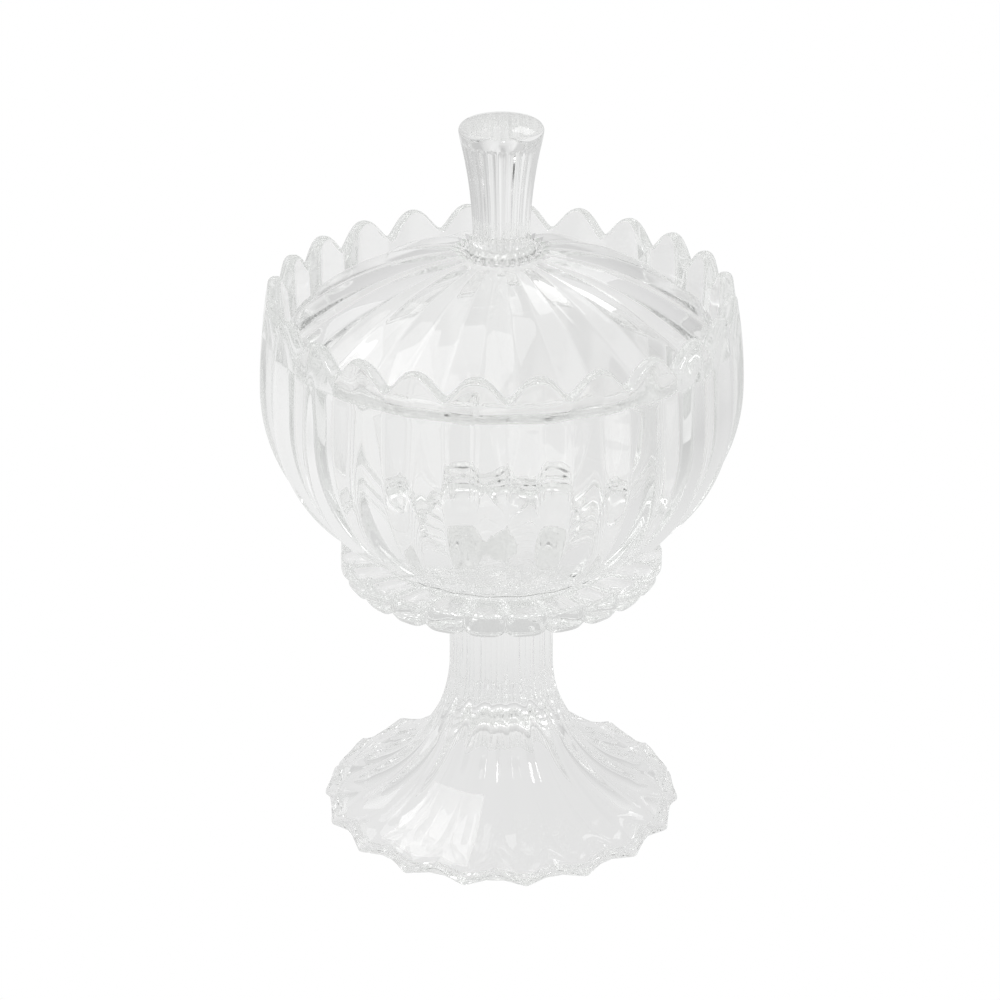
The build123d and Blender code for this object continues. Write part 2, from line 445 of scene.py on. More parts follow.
class SectionPen:
    """Draws half a section through a turned piece, in the XZ plane, from point to point."""

    def __init__(self, radius: float, height: float) -> None:
        """Puts the pen down.

        Args:
            radius: of the first point.
            height: of the first point.
        """
        self.mesh = bmesh.new()
        self.layers = {cut: self.mesh.verts.layers.float.new(cut.value) for cut in Cut}
        self.facing = self.mesh.verts.layers.float_vector.new("facing")
        self.tip = bmesh.ops.create_vert(self.mesh, co=(radius, 0.0, height))["vert"][0]

    @property
    def place(self) -> Point:
        """Radius and height of the pen's tip."""
        return self.tip.co.x, self.tip.co.z

    def _share_out(self, points: Sequence[bmesh.types.BMVert], cuts: Cuts | None) -> None:
        """Sets the cuts along new points, evenly from the old tip's to the new ones.

        Args:
            points: the new points in order.
            cuts: what the last of them takes, where it changes.
        """
        start = {cut: self.tip[layer] for cut, layer in self.layers.items()}
        goal = {**start, **(cuts or {})}
        for number, point in enumerate(points, 1):
            for cut, layer in self.layers.items():
                point[layer] = start[cut] + (goal[cut] - start[cut]) * number / len(points)

    def _face_out(self) -> None:
        """Stores at each point the way that the surface faces, to the right of the pen's travel."""
        points = list(self.mesh.verts)
        for number, point in enumerate(points):
            before = points[max(0, number - 1)].co
            after = points[min(len(points) - 1, number + 1)].co
            into = (point.co - before).normalized()
            onward = (after - point.co).normalized()
            travel = (into + onward).normalized()
            point[self.facing] = (travel.z, 0.0, -travel.x)

    def spin(self, steps: int) -> bmesh.types.BMesh:
        """Turns the section about the axis.

        Args:
            steps: how many columns the whole turn has.

        Returns:
            The turned mesh, still uncut.
        """
        self._face_out()
        bmesh.ops.spin(
            self.mesh,
            geom=[*self.mesh.verts, *self.mesh.edges],
            cent=CENTRE,
            axis=UPRIGHT,
            angle=TURN,
            steps=steps,
            use_merge=True,
        )
        return self.mesh

    def finished(self, name: str, turned: float = 0.0) -> bpy.types.Object:
        """Closes the turned mesh and makes it an object, in metres.

        Args:
            name: of the object.
            turned: degrees to turn it by.

        Returns:
            The object.
        """
        mesh = self.mesh
        bmesh.ops.remove_doubles(mesh, verts=mesh.verts, dist=MERGE_GAP)
        bmesh.ops.recalc_face_normals(mesh, faces=mesh.faces)
        turning = Matrix.Rotation(math.radians(turned), 3, "Z")
        bmesh.ops.rotate(mesh, verts=mesh.verts, cent=CENTRE, matrix=turning)
        bmesh.ops.scale(mesh, vec=(MM, MM, MM), verts=mesh.verts)
        for cut in Cut:
            mesh.verts.layers.float.remove(mesh.verts.layers.float[cut.value])
        mesh.verts.layers.float_vector.remove(mesh.verts.layers.float_vector["facing"])
        for face in mesh.faces:
            face.smooth = True
        data = bpy.data.meshes.new(name)
        mesh.to_mesh(data)
        mesh.free()
        made = bpy.data.objects.new(name, data)
        bpy.context.scene.collection.objects.link(made)
        return made

    def line(self, radius: float, height: float, parts: int = 1, cuts: Cuts | None = None) -> None:
        """Draws a straight line.

        Args:
            radius: of its end.
            height: of its end.
            parts: how many pieces it is in.
            cuts: the cuts at its end, if they change.
        """
        step = (Vector((radius, 0.0, height)) - self.tip.co) / parts
        points = []
        last = self.tip
        for _ in range(parts):
            last = bmesh.ops.extrude_vert_indiv(self.mesh, verts=[last])["verts"][0]
            bmesh.ops.translate(self.mesh, verts=[last], vec=step)
            points.append(last)
        self._share_out(points, cuts)
        self.tip = last

    def arc(self, centre: Point, sweep: float, parts: int, cuts: Cuts | None = None) -> None:
        """Draws an arc.

        Args:
            centre: of the arc.
            sweep: in degrees, positive from outwards towards up.
            parts: how many pieces it is in.
            cuts: the cuts at its end, if they change.
        """
        first = len(self.mesh.verts)
        last = bmesh.ops.spin(
            self.mesh,
            geom=[self.tip],
            cent=(centre[0], 0.0, centre[1]),
            axis=SIDEWAYS,
            angle=-math.radians(sweep),
            steps=parts,
        )["geom_last"][0]
        self._share_out(list(self.mesh.verts)[first:], cuts)
        self.tip = last

    def arc_to(self, centre: Point, end: Point, parts: int, cuts: Cuts | None = None) -> None:
        """Draws the shorter arc about a centre, until it is in line with an end point.

        Args:
            centre: of the arc.
            end: the point that it turns towards.
            parts: how many pieces it is in.
            cuts: the cuts at its end, if they change.
        """
        start_angle = math.atan2(self.place[1] - centre[1], self.place[0] - centre[0])
        end_angle = math.atan2(end[1] - centre[1], end[0] - centre[0])
        sweep = (end_angle - start_angle + math.pi) % TURN - math.pi
        self.arc(centre, math.degrees(sweep), parts, cuts)

    def corner(
        self,
        via: Point,
        towards: Point,
        radius: float,
        parts: int = 4,
        line_parts: int = 1,
        cuts: Cuts | None = None,
    ) -> None:
        """Draws a line to a corner and rounds it.

        Args:
            via: the sharp corner.
            towards: a point that the section goes on to.
            radius: of the rounding.
            parts: how many pieces the rounding is in.
            line_parts: how many pieces the line before it is in.
            cuts: the cuts at the end of the rounding, if they change.
        """
        tip, peak, goal = Vector(self.place), Vector(via), Vector(towards)
        back, ahead = (tip - peak).normalized(), (goal - peak).normalized()
        half = back.angle(ahead) / 2
        run = radius / math.tan(half)
        centre = peak + (back + ahead).normalized() * radius / math.sin(half)
        start, end = peak + back * run, peak + ahead * run
        self.line(start.x, start.y, line_parts)
        self.arc_to((centre.x, centre.y), (end.x, end.y), parts, cuts)


def settle(
    piece: bpy.types.Object, finish: GlassFinish, body: Body, node: str
) -> bpy.types.Object:
    """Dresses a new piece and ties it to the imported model.

    Args:
        piece: the new piece.
        finish: what it is made of.
        body: the body that it rides on.
        node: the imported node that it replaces.

    Returns:
        The piece.
    """
    piece.data.materials.append(finish.material())
    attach(piece, body.value)
    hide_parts(node)
    triangles = sum(len(face.vertices) - 2 for face in piece.data.polygons)
    LOG.info("%s: %d triangles", piece.name, triangles)
    return piece


@dataclass(kw_only=True)
class TurnedPiece:
    """A glass piece that starts as a section spun about the axis, then takes its flutes.

    The depth of its flutes is a share of the radius.
    """

    name: ClassVar[str]
    node: ClassVar[str]
    slot: ClassVar[str]
    body: ClassVar[Body] = Body.BASE

    finish: GlassFinish
    flute_share: float

    @cached_property
    def low(self) -> float:
        """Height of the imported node's lowest point."""
        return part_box(self.node)[0].z / MM

    @cached_property
    def high(self) -> float:
        """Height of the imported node's highest point."""
        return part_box(self.node)[1].z / MM

    @cached_property
    def cutter(self) -> FluteCutter:
        """The flutes that set the columns of the mesh; each piece has its own."""
        raise NotImplementedError

    @property
    def turned(self) -> float:
        """Degrees by which the piece's grooves are turned from +X."""
        return 0.0

    def section(self) -> SectionPen:
        """Draws the section; each piece has its own."""
        raise NotImplementedError

    def depth(self, spot: Spot) -> float:
        """How deep a point is cut, square to the surface."""
        valley = 1 - self.cutter.rise(spot.angle)
        return self.flute_share * spot.radius * valley * spot.cuts[Cut.FLUTES]

    def shift(self, spot: Spot) -> Point:
        """Where a point goes before it is cut, as its new radius and height."""
        return spot.radius, spot.height

    def build(self) -> bpy.types.Object:
        """Builds, dresses and places the piece.

        Returns:
            The finished object.
        """
        pen = self.section()
        for vert in pen.spin(self.cutter.steps).verts:
            spot = Spot(
                angle=self.cutter.crowd(math.atan2(vert.co.y, vert.co.x) % TURN),
                radius=math.hypot(vert.co.x, vert.co.y),
                height=vert.co.z,
                cuts={cut: vert[layer] for cut, layer in pen.layers.items()},
            )
            if spot.radius < ON_AXIS:
                continue
            facing = vert[pen.facing]
            depth = self.depth(spot)
            radius, height = self.shift(spot)
            radius -= depth * facing.x
            height -= depth * facing.z
            vert.co = (radius * math.cos(spot.angle), radius * math.sin(spot.angle), height)
        piece = pen.finished(self.name, self.turned)
        return settle(piece, self.finish, self.body, self.node)


@dataclass(kw_only=True)
class Bowl(TurnedPiece):
    """The fluted bowl with its scalloped rim, and the beaded collar under it."""

    name: ClassVar[str] = "fluted_bowl"
    node: ClassVar[str] = "bowl"
    slot: ClassVar[str] = "bowl_glass"

    flutes: int = 24
    flute_share: float = 0.026
    flute_start: float = 5.0
    start_share: float = 0.4
    belly_r: float = 61.4
    belly_drop: float = 25.0

    rim_r: float = 59.0
    rim_wall: float = 3.3
    rim_round: float = 1.6
    rim_draft: float = 1.5
    rim_flutes: float = 0.2
    scallop_slope: float = 50.0
    scallop_round: float = 5.0
    valley_round: float = 1.6

    seat_drop: float = 13.0
    seat_width: float = 2.6
    seat_lead: Point = (0.06, 0.5)
    seat_round: float = 0.3
    seat_edge: float = 0.5
    inner_straight: float = 14.0
    inner_draft: float = 0.3
    floor_thickness: float = 13.0
    floor_r: float = 20.0
    floor_lead: float = 0.8
    floor_round: float = 1.0

    stem_r: float = 14.4
    under_r: float = 36.0
    under_step: float = 0.1
    collar_r: float = 41.6
    collar_rise: float = 2.6
    collar_height: float = 7.0
    collar_edge: float = 0.6
    lower_draw: float = 1.4
    lower_height: float = 1.8
    lower_round: float = 1.2
    upper_draw: float = 0.8
    upper_height: float = 0.8
    upper_round: float = 1.0
    lobe_share: float = 0.03
    lobe_end: float = 2.2
    neck_r: float = 29.6
    neck_lead: Point = (0.3, 1.2)
    neck_round: float = 0.8

    def __post_init__(self) -> None:
        """Works out the arcs of the wall."""
        self.belly_z = self.high - self.belly_drop
        self.collar_z = self.low + self.collar_rise
        self.collar_top_z = self.collar_z + self.collar_height
        self.seat_z = self.high - self.seat_drop
        self.seat_outer_r = self.rim_r - self.rim_wall - self.rim_draft
        self.seat_inner_r = self.seat_outer_r - self.seat_width
        self.lower_arc_r = arc_radius(self.belly_z - self.collar_top_z, self.belly_r - self.neck_r)
        self.upper_arc_r = arc_radius(self.belly_drop, self.belly_r - self.rim_r)

    @cached_property
    def cutter(self) -> FluteCutter:
        """The bowl's own flutes."""
        return FluteCutter(self.flutes, columns=20, ridge_round=0.22, groove_round=0.05)

    @cached_property
    def beading(self) -> FluteCutter:
        """The lobes of the collar."""
        return FluteCutter(self.flutes, columns=20, ridge_round=0.9, groove_round=0.1)

    def outer_r(self, height: float) -> float:
        """Radius of the outer wall above the belly, at a height."""
        across = math.sqrt(self.upper_arc_r**2 - (height - self.belly_z) ** 2)
        return self.belly_r - self.upper_arc_r + across

    def notch(self, angle: float) -> float:
        """How far the rim drops between its tips.

        Args:
            angle: from a valley, in radians.

        Returns:
            The drop, which is 0 on a tip.
        """
        pitch = self.cutter.pitch
        off_tip = abs(((angle / pitch) % 1) - 0.5) * pitch * self.rim_r
        half = pitch * self.rim_r / 2
        slope = math.radians(self.scallop_slope)
        knee = self.scallop_round * math.sin(slope)
        if off_tip < knee:
            return self.scallop_round - math.sqrt(self.scallop_round**2 - off_tip**2)
        drop = self.scallop_round * (1 - math.cos(slope))
        near = half - off_tip
        foot = self.valley_round * math.sin(slope)
        if near >= foot:
            return drop + (off_tip - knee) * math.tan(slope)
        drop += (half - foot - knee) * math.tan(slope)
        sag = math.sqrt(1 - (near / self.valley_round) ** 2) - math.cos(slope)
        return drop + self.valley_round * sag

    def section(self) -> SectionPen:
        """Draws the wall: the underside and collar, the outside, over the rim and down inside.

        Returns:
            The pen.
        """
        pen = SectionPen(0.0, self.low)
        self._draw_collar(pen)
        self._draw_outside(pen)
        self._draw_inside(pen)
        return pen

    def _draw_collar(self, pen: SectionPen) -> None:
        """Draws the underside, and the collar up to the bowl's side.

        Args:
            pen: stands on the axis.
        """
        low_r = self.collar_r - self.lower_draw
        up_r = self.collar_r - self.upper_draw
        lower = (self.collar_r, self.collar_z + self.lower_height)
        upper = (self.collar_r, self.collar_top_z - self.upper_height)
        top = (up_r, self.collar_top_z)
        pen.line(self.stem_r, self.low, parts=3)
        pen.line(self.under_r, self.collar_z - self.under_step, parts=6, cuts={Cut.LOBES: 1.0})
        pen.corner((low_r, self.collar_z), lower, self.collar_edge, line_parts=2)
        pen.corner(lower, upper, self.lower_round)
        pen.corner(upper, top, self.upper_round, line_parts=4)
        pen.corner(top, (self.neck_r, self.collar_top_z), self.collar_edge)
        pen.line(up_r - self.lobe_end, self.collar_top_z, parts=3, cuts={Cut.LOBES: 0.0})
        start_r = self.neck_r + self.flute_start
        pen.line(start_r, self.collar_top_z, parts=3, cuts={Cut.FLUTES: self.start_share})

    def _draw_outside(self, pen: SectionPen) -> None:
        """Draws the fluted side from the collar to the rim's outer edge.

        Args:
            pen: stands on the collar.
        """
        lead_r, lead_z = self.neck_lead
        join_z = self.collar_top_z + lead_z
        centre = (self.belly_r - self.lower_arc_r, self.belly_z)
        reach = math.sqrt(self.lower_arc_r**2 - (join_z - self.belly_z) ** 2)
        join = (centre[0] + reach, join_z)
        neck = (self.neck_r + lead_r, self.collar_top_z)
        pen.corner(neck, join, self.neck_round, line_parts=3, cuts={Cut.FLUTES: 1.0})
        pen.line(*join)
        pen.arc_to(centre, (self.belly_r, self.belly_z), parts=36)
        centre = (self.belly_r - self.upper_arc_r, self.belly_z)
        pen.arc_to(centre, (self.outer_r(self.seat_z), self.seat_z), parts=8)
        edge_z = self.high - self.rim_round
        pen.arc_to(centre, (self.outer_r(edge_z), edge_z), parts=8, cuts={Cut.SCALLOPS: 1.0})

    def _draw_inside(self, pen: SectionPen) -> None:
        """Draws the rim, the lid's seat, the inside and the floor.

        Args:
            pen: stands at the rim's outer edge.
        """
        edge_z = self.high - self.rim_round
        inner_rim_r = self.rim_r - self.rim_wall + self.rim_round
        outer_rim = (self.outer_r(edge_z) - self.rim_round, edge_z)
        pen.arc(outer_rim, QUARTER, parts=12, cuts={Cut.FLUTES: self.rim_flutes})
        pen.line(inner_rim_r, self.high, cuts={Cut.FLUTES: 0.0})
        pen.arc((inner_rim_r, edge_z), QUARTER, parts=12)
        lead_r, lead_z = self.seat_lead
        lead = (self.seat_outer_r + lead_r, self.seat_z + lead_z)
        pen.line(*lead, parts=8, cuts={Cut.SCALLOPS: 0.0})
        seat_edge = (self.seat_inner_r, self.seat_z)
        pen.corner((self.seat_outer_r, self.seat_z), seat_edge, self.seat_round, parts=3)
        inner_z = self.seat_z - self.inner_straight
        inner_r = self.seat_inner_r - self.inner_draft
        pen.corner(seat_edge, (inner_r, inner_z), self.seat_edge, line_parts=2)
        pen.line(inner_r, inner_z, parts=6)
        floor_z = self.low + self.floor_thickness
        drop = inner_z - floor_z
        arc_r = arc_radius(drop, inner_r - self.floor_r)
        centre = (inner_r - arc_r, inner_z)
        near_angle = math.asin((drop - self.floor_lead) / arc_r)
        pen.arc_to(centre, on_circle(centre, arc_r, -near_angle), parts=30)
        pen.corner((self.floor_r, floor_z), (0.0, floor_z), self.floor_round, parts=5)
        pen.line(0.0, floor_z, parts=3)

    def depth(self, spot: Spot) -> float:
        """The depth of the bowl's flutes and of the valleys between the collar's lobes.

        Args:
            spot: the point.

        Returns:
            The depth.
        """
        valley = (1 - self.beading.rise(spot.angle)) ** 2
        lobes = self.lobe_share * spot.radius * valley * spot.cuts[Cut.LOBES]
        return super().depth(spot) + lobes

    def shift(self, spot: Spot) -> Point:
        """Lets the rim down between its tips, along the wall.

        Args:
            spot: the point.

        Returns:
            Its new radius and height.
        """
        scallop = spot.cuts[Cut.SCALLOPS]
        if scallop <= 0:
            return spot.radius, spot.height
        lowered = spot.height - self.notch(spot.angle) * scallop
        outside = spot.cuts[Cut.FLUTES]
        outer_slide = self.outer_r(lowered) - self.outer_r(spot.height)
        inner_slide = (lowered - spot.height) * self.rim_draft / self.seat_drop
        slide = outer_slide * outside + inner_slide * (1 - outside)
        return spot.radius + slide, lowered


@dataclass(kw_only=True)
class Pedestal(TurnedPiece):
    """The fluted foot with its pointed edge, and the stem."""

    name: ClassVar[str] = "fluted_pedestal"
    node: ClassVar[str] = "pedestal"
    slot: ClassVar[str] = "pedestal_glass"

    flutes: int = 18
    flute_share: float = 0.047
    edge_flutes: float = 0.5
    clocking: float = -3.4
    foot_r: float = 46.9
    edge_height: float = 3.5
    edge_round: float = 0.5
    shoulder_lead: float = 0.4
    shoulder_round: float = 0.4
    flare_lead: float = 0.8
    ring_width: float = 3.9
    ring_round: float = 0.4
    wall: float = 4.0
    hollow_height: float = 29.0
    crown_angle: float = 34.0
    waist_r: float = 13.5
    waist_z: float = 43.0
    straight: float = 15.0
    top_r: float = 14.4
    tip_drop: float = 2.3
    arch_rise: float = 1.2
    arch_lift: float = 1.5
    arch_lean: float = 1.2
    arch_reach: float = 7.0

    @cached_property
    def cutter(self) -> FluteCutter:
        """Hollow flutes that meet in pointed ridges."""
        return FluteCutter(
            self.flutes, columns=20, ridge_round=0.14, groove_round=0.55, crowding=0.6
        )

    @cached_property
    def points(self) -> FluteCutter:
        """The zigzag of the foot's edge."""
        return FluteCutter(self.flutes, columns=20, ridge_round=0.12, groove_round=0.12)

    @property
    def turned(self) -> float:
        """Half a flute, as a ridge and not a groove comes first, and a little off the bowl's."""
        return self.clocking + 2 * QUARTER / self.flutes

    def section(self) -> SectionPen:
        """Draws the wall: down the hollow, round the foot's edge, and up the flare and stem.

        Returns:
            The pen.
        """
        drop = self.waist_z - self.edge_height
        flare_r = arc_radius(drop, self.foot_r - self.waist_r)
        flare = (self.waist_r + flare_r, self.waist_z)
        pen = SectionPen(0.0, self.hollow_height)
        self._draw_hollow(pen, flare, flare_r + self.wall)
        below, above = (self.foot_r, 0.0), (self.foot_r, self.edge_height)
        edge_r = self.foot_r - self.edge_round
        pen.line(edge_r, 0.0, parts=4, cuts={Cut.FLUTES: 1.0, Cut.ARCHES: 1.0})
        pen.corner(below, above, self.edge_round)
        tips = {Cut.ARCHES: 0.0, Cut.TIPS: 1.0, Cut.FLUTES: self.edge_flutes}
        pen.line(self.foot_r, self.edge_height - self.shoulder_lead, parts=5, cuts=tips)
        join_angle = math.asin((drop - self.flare_lead) / flare_r)
        join = on_circle(flare, -flare_r, join_angle)
        pen.corner(above, join, self.shoulder_round, parts=3)
        pen.line(*join)
        reach = on_circle(flare, -flare_r, join_angle - self.arch_reach / flare_r)
        pen.arc_to(flare, reach, parts=8, cuts={Cut.TIPS: 0.0, Cut.FLUTES: 1.0})
        pen.arc_to(flare, (self.waist_r, self.waist_z), parts=36)
        stem_z = self.waist_z + self.straight
        pen.line(self.waist_r, stem_z, parts=6)
        stem_arc = arc_radius(self.high - stem_z, self.top_r - self.waist_r)
        pen.arc_to((self.waist_r + stem_arc, stem_z), (self.top_r, self.high), parts=6)
        face_r = self.top_r * (1 - self.flute_share)
        pen.line(face_r, self.high, parts=2, cuts={Cut.FLUTES: 0.0})
        pen.line(0.0, self.high, parts=3)
        return pen

    def _draw_hollow(self, pen: SectionPen, flare: Point, hollow_r: float) -> None:
        """Draws the hollow under the foot, from its crown to the foot's ring.

        Args:
            pen: stands at the crown, on the axis.
            flare: centre of the flare's arc.
            hollow_r: radius of the hollow's side about that centre.
        """
        side = on_circle(flare, -hollow_r, math.radians(self.crown_angle))
        crown_r = arc_radius(side[0], self.hollow_height - side[1])
        ring_r = self.foot_r - self.ring_width
        ring_z = flare[1] - math.sqrt(hollow_r**2 - (flare[0] - ring_r) ** 2)
        pen.arc_to((0.0, self.hollow_height - crown_r), side, parts=14)
        pen.arc_to(flare, (ring_r, ring_z), parts=26)
        pen.corner((ring_r, 0.0), (self.foot_r, 0.0), self.ring_round, parts=3)

    def shift(self, spot: Spot) -> Point:
        """Lets the foot's edge down at its tips, and arches it between them.

        Args:
            spot: the point.

        Returns:
            Its new radius and height.
        """
        tip = self.points.rise(spot.angle)
        edge = spot.cuts[Cut.TIPS]
        height = spot.height + self.arch_rise * (1 - tip) * spot.cuts[Cut.ARCHES]
        height += (self.arch_lift * (1 - tip) - self.tip_drop * tip) * edge
        return spot.radius - self.arch_lean * (1 - tip) * edge, height


@dataclass(kw_only=True)
class Lid(TurnedPiece):
    """The fluted dome, whose thin edge sits on the bowl's seat."""

    name: ClassVar[str] = "domed_lid"
    node: ClassVar[str] = "lid"
    slot: ClassVar[str] = "lid_glass"
    body: ClassVar[Body] = Body.LID

    flutes: int = 16
    flute_share: float = 0.034
    edge_flutes: float = 0.35
    clocking: float = 3.5
    flange_r: float = 53.6
    flange_thickness: float = 1.7
    shoulder: float = 1.7
    flange_width: float = 1.2
    flange_round: float = 0.4
    dome_lead: float = 0.5
    rise: float = 18.2
    wall: float = 3.6
    knob_seat_r: float = 12.1
    seat_margin: float = 1.5
    lift: float = 0.04

    @cached_property
    def cutter(self) -> FluteCutter:
        """The dome's flutes."""
        return FluteCutter(self.flutes, columns=24, ridge_round=0.12, groove_round=0.06)

    @property
    def turned(self) -> float:
        """The dome's first groove stands a little off the bowl's."""
        return self.clocking

    def section(self) -> SectionPen:
        """Draws the wall from the top of the hollow, down, round the edge and up over the dome.

        Returns:
            The pen.
        """
        edge_z = self.low + self.flange_thickness
        top_z = edge_z + self.shoulder
        dome_r = self.flange_r - self.flange_width
        drop = (dome_r**2 - self.knob_seat_r**2 - self.rise**2) / (2 * self.rise)
        arc_r = math.hypot(dome_r, drop)
        centre = (0.0, top_z - drop)
        inner_r = arc_r - self.wall
        base_z = self.low + self.lift
        hollow_r = math.sqrt(inner_r**2 - (base_z - centre[1]) ** 2)
        start = on_circle(centre, arc_r, math.asin((drop + self.dome_lead) / arc_r))
        edge, top = (self.flange_r, edge_z), (dome_r, top_z)
        pen = SectionPen(0.0, centre[1] + inner_r)
        pen.arc_to(centre, (hollow_r, base_z), parts=36)
        pen.corner((self.flange_r, base_z), edge, self.flange_round, line_parts=3)
        part_cut = {Cut.FLUTES: self.edge_flutes}
        pen.corner(edge, top, self.flange_round, line_parts=2, cuts=part_cut)
        pen.corner(top, start, self.flange_round, line_parts=3, cuts={Cut.FLUTES: 1.0})
        pen.line(*start)
        pen.arc_to(centre, (self.knob_seat_r, self.high), parts=48)
        face_r = self.knob_seat_r - self.seat_margin
        pen.line(face_r, self.high, parts=2, cuts={Cut.FLUTES: 0.0})
        pen.line(0.0, self.high, parts=3)
        return pen


@dataclass(kw_only=True)
class Knob(TurnedPiece):
    """The tall fluted knob, with a beaded skirt that stands clear of the lid."""

    name: ClassVar[str] = "fluted_knob"
    node: ClassVar[str] = "lid_knob"
    slot: ClassVar[str] = "knob_glass"
    body: ClassVar[Body] = Body.LID

    flutes: int = 24
    flute_share: float = 0.045
    foot_flutes: float = 0.5
    foot_r: float = 9.0
    foot_margin: float = 0.8
    lip_r: float = 11.3
    lip_height: float = 0.9
    lip_lead: float = 0.5
    lead_rise: float = 0.7
    lip_round: float = 0.25
    skirt_height: float = 3.6
    skirt_round: float = 2.2
    bead_share: float = 0.12
    bead_rise: float = 0.7
    waist_r: float = 7.2
    top_r: float = 10.8
    edge_drop: float = 3.0
    crown: float = 2.0
    edge_round: float = 1.5
    flutes_end: float = 26.0
    fade: float = 1.2

    @cached_property
    def cutter(self) -> FluteCutter:
        """The knob's flutes."""
        return FluteCutter(
            self.flutes, columns=14, ridge_round=0.35, groove_round=0.12, crowding=0.5
        )

    def section(self) -> SectionPen:
        """Draws the outside from the bonded face up to the middle of the crown.

        Returns:
            The pen.
        """
        waist_z = self.low + self.skirt_height
        lip_z = self.low + self.lip_height
        run = self.high - self.edge_drop - waist_z
        shaft_r = arc_radius(run, self.top_r - self.waist_r)
        shaft = (self.waist_r + shaft_r, waist_z)
        skirt = (self.waist_r, lip_z + self.skirt_round / 2)
        beads = {Cut.FLUTES: 1.0, Cut.LOBES: 1.0}
        pen = SectionPen(0.0, self.low)
        pen.line(self.foot_r - self.foot_margin, self.low, parts=3)
        pen.line(self.foot_r, self.low, cuts={Cut.FLUTES: self.foot_flutes})
        lead_z = self.low + self.lead_rise * self.lip_height
        pen.line(self.lip_r - self.lip_lead, lead_z, parts=3, cuts=beads)
        pen.corner((self.lip_r, lip_z), skirt, self.lip_round)
        waist = (self.waist_r, waist_z)
        pen.corner(skirt, waist, self.skirt_round, parts=8, line_parts=5, cuts={Cut.LOBES: 0.0})
        pen.arc_to(shaft, self._on_shaft(shaft, shaft_r, self.flutes_end), parts=22)
        plain = self._on_shaft(shaft, shaft_r, self.flutes_end + self.fade)
        pen.arc_to(shaft, plain, parts=4, cuts={Cut.FLUTES: 0.0})
        crown_r = arc_radius(self.top_r, self.crown)
        inner_r = self.top_r - 2 * self.edge_round
        inner = (inner_r, self.high - crown_r + math.sqrt(crown_r**2 - inner_r**2))
        pen.corner((self.top_r, self.high - self.crown), inner, self.edge_round, parts=10)
        pen.line(*inner)
        pen.arc_to((0.0, self.high - crown_r), (0.0, self.high), parts=12)
        return pen

    def depth(self, spot: Spot) -> float:
        """The depth of the shaft's flutes and of the valleys between the skirt's beads."""
        valley = 1 - self.cutter.rise(spot.angle)
        return super().depth(spot) + self.bead_share * spot.radius * valley * spot.cuts[Cut.LOBES]

    def shift(self, spot: Spot) -> Point:
        """Raises the skirt's lower edge between its beads."""
        valley = 1 - self.cutter.rise(spot.angle)
        return spot.radius, spot.height + self.bead_rise * valley * spot.cuts[Cut.LOBES]

    def _on_shaft(self, centre: Point, arc_r: float, height: float) -> Point:
        """The point on the shaft's side at a height above the waist."""
        return centre[0] - math.sqrt(arc_r**2 - height**2), centre[1] + height


@dataclass(kw_only=True)
class GlueFilm:
    """A clear film of adhesive, let a hair into both glass pieces so that no light is lost."""

    node: str
    finish: GlassFinish
    body: Body = Body.BASE
    slot: str = "clear_adhesive"
    bite: float = 0.03
    edge_round: float = 0.05
    columns: int = 96

    def build(self) -> bpy.types.Object:
        """Builds the film as a spun disc.

        Returns:
            The finished object.
        """
        low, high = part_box(self.node)
        radius = high.x / MM
        base, top = low.z / MM - self.bite, high.z / MM + self.bite
        pen = SectionPen(0.0, base)
        pen.corner((radius, base), (radius, top), self.edge_round, parts=3, line_parts=2)
        pen.corner((radius, top), (0.0, top), self.edge_round, parts=3)
        pen.line(0.0, top, parts=2)
        pen.spin(self.columns)
        piece = pen.finished(f"{self.node}_film")
        return settle(piece, self.finish, self.body, self.node)


@dataclass(kw_only=True)
class BlankLabel:
    """The blank label inside the foot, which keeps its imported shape."""

    finish: PaperFinish
    node: str = "blank_label"

    def dress(self) -> None:
        """Gives the label its paper finish."""
        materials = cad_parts[self.node].data.materials
        materials.clear()
        materials.append(self.finish.material())
        LOG.info("%s: dressed", self.node)


# ---------------------------------------------------------------- studio


@dataclass(frozen=True)
class Softbox:
    """One soft light over the table."""

    name: str
    place: tuple[float, float, float]
    size: Pair
    glow: float

    def build(self, target: Vector) -> None:
        """Adds the light, aimed at a point.

        Args:
            target: what it points at.
        """
        data = bpy.data.lights.new(self.name, "AREA")
        data.shape = "RECTANGLE"
        data.size, data.size_y = self.size
        data.energy = self.glow * math.pi * self.size[0] * self.size[1]
        light = bpy.data.objects.new(self.name, data)
        light.location = self.place
        light.rotation_euler = (target - light.location).to_track_quat("-Z", "Y").to_euler()
        bpy.context.scene.collection.objects.link(light)


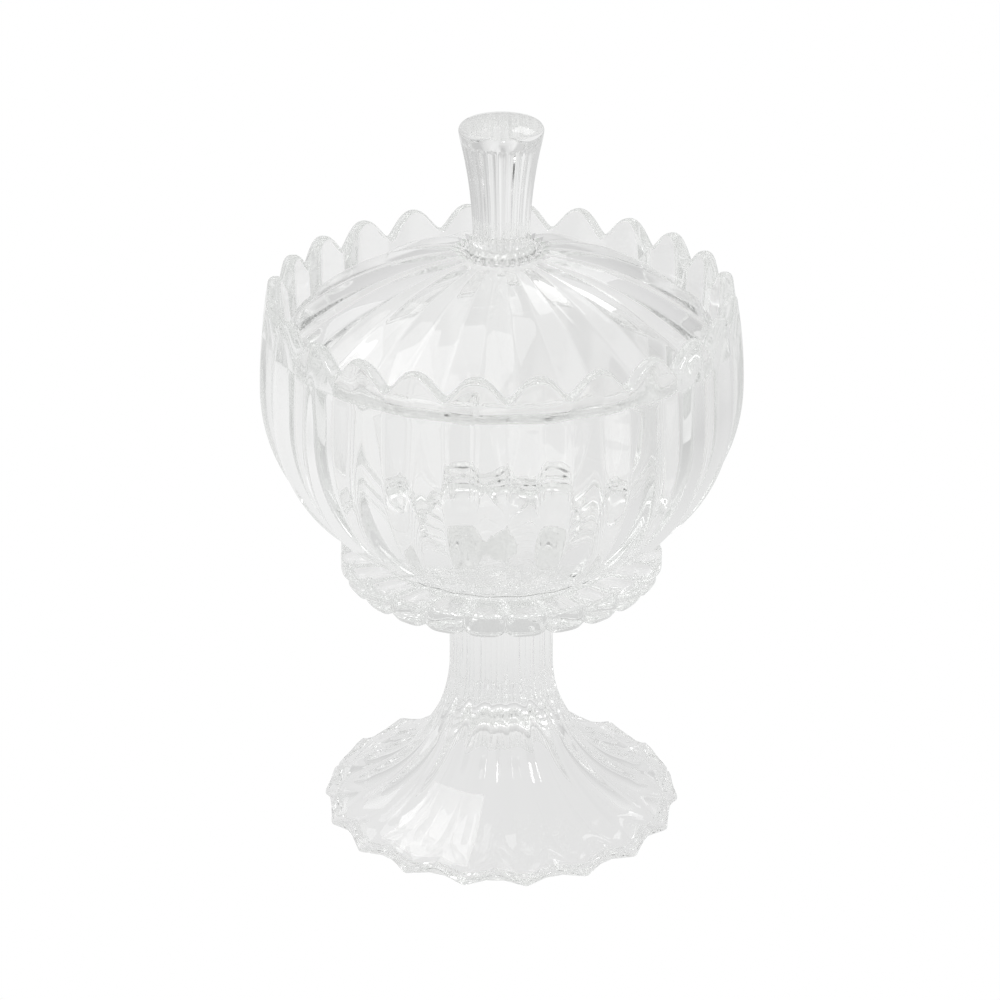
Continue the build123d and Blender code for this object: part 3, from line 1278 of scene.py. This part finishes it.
@dataclass
class Studio:
    """Pale lit table, soft lights, pale room with one dark card, and the camera.

    Light takes many bounces, or glass behind glass turns black, and stray glints are held down.
    """

    lens: float = 140.13
    sensor: float = 36.0
    clip_start: float = 0.05
    camera_place: tuple[float, float, float] = (-0.0235, -0.9039, 0.5178)
    camera_target: tuple[float, float, float] = (-0.00032, 0.00002, 0.08765)
    table_r: float = 5.0
    table_sides: int = 64
    table_drop: float = 0.0002
    softboxes: tuple[Softbox, ...] = (
        Softbox("softbox_left", (-0.55, 0.25, 1.15), (0.6, 0.9), 1.45),
        Softbox("softbox_back", (0.45, 1.1, 1.2), (0.5, 0.35), 1.5),
        Softbox("lamp_front", (0.05, -0.98, 0.8), (0.16, 0.3), 9.0),
    )
    room: tuple[Pair, ...] = (
        (0.0, 0.6),
        (0.5, 0.62),
        (0.6, 0.7),
        (0.8, 0.85),
        (1.0, 0.8),
    )
    bare_room: float = 1.3
    dark_card: tuple[float, float, float] = (0.0, -0.9, 0.43)
    dark_level: float = 0.12
    dark_span: Pair = (0.96, 0.985)
    light_bounces: int = 40
    glint_limit: float = 1.5

    def build(self) -> None:
        """Builds the whole studio."""
        self._camera()
        self._table()
        self._room()
        for softbox in self.softboxes:
            softbox.build(Vector(self.camera_target))
        bpy.context.scene.view_settings.view_transform = "Standard"
        paths = bpy.context.scene.cycles
        paths.max_bounces = self.light_bounces
        paths.transmission_bounces = self.light_bounces
        paths.glossy_bounces = self.light_bounces
        paths.sample_clamp_indirect = self.glint_limit

    def _camera(self) -> None:
        """Adds the camera and makes it the scene's."""
        data = bpy.data.cameras.new("camera")
        data.lens = self.lens
        data.sensor_width = self.sensor
        data.clip_start = self.clip_start
        camera = bpy.data.objects.new("camera", data)
        camera.location = self.camera_place
        aim = Vector(self.camera_target) - camera.location
        camera.rotation_euler = aim.to_track_quat("-Z", "Y").to_euler()
        bpy.context.scene.collection.objects.link(camera)
        bpy.context.scene.camera = camera

    def _table(self) -> None:
        """Adds the table top, just under the jar."""
        mesh = bmesh.new()
        bmesh.ops.create_circle(
            mesh, cap_ends=True, segments=self.table_sides, radius=self.table_r
        )
        bmesh.ops.translate(mesh, verts=mesh.verts, vec=(0.0, 0.0, -self.table_drop))
        data = bpy.data.meshes.new("table_top")
        mesh.to_mesh(data)
        mesh.free()
        table = bpy.data.objects.new("table_top", data)
        bpy.context.scene.collection.objects.link(table)
        data.materials.append(TableFinish().material())

    def _room(self) -> None:
        """Makes the pale room round the table: bands of light by height, and a dark card."""
        world = bpy.data.worlds.new("pale_room")
        world.use_nodes = True
        bpy.context.scene.world = world
        desk = NodeDesk(world.node_tree)
        place = desk.node("ShaderNodeTexCoord", output="Generated")
        height = desk.node("ShaderNodeSeparateXYZ", inputs={0: place}, output="Z")
        bands = desk.node("ShaderNodeValToRGB", {"stops": self.room}, {0: height * 0.5 + 0.5})
        towards_card = desk.node(
            "ShaderNodeVectorMath",
            {"operation": "DOT_PRODUCT"},
            {0: place, 1: Vector(self.dark_card).normalized()},
            output="Value",
        )
        shade = desk.soft_step(towards_card, self.dark_span, (1.0, self.dark_level))
        bare = desk.node("ShaderNodeLightPath", output="Is Camera Ray")
        level = shade * (1 - bare) + bare * self.bare_room
        light = desk.node("ShaderNodeBackground", inputs={"Color": bands, "Strength": level})
        desk.node("ShaderNodeOutputWorld", inputs={"Surface": light})


def main() -> None:
    """Builds every piece in order, then the studio."""
    logging.basicConfig(level=logging.INFO, format="%(name)s %(message)s")
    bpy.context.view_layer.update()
    Bowl(finish=GlassFinish("bowl_glass")).build()
    Pedestal(finish=GlassFinish("pedestal_glass")).build()
    Lid(finish=GlassFinish("lid_glass")).build()
    Knob(finish=GlassFinish("knob_glass")).build()
    glue = GlassFinish("clear_glue", refraction=1.49)
    GlueFilm(node="stem_bond", finish=glue).build()
    GlueFilm(node="knob_bond", finish=glue, body=Body.LID).build()
    BlankLabel(finish=PaperFinish("blank_label_film")).dress()
    Studio().build()


if __name__ == "__main__":
    main()
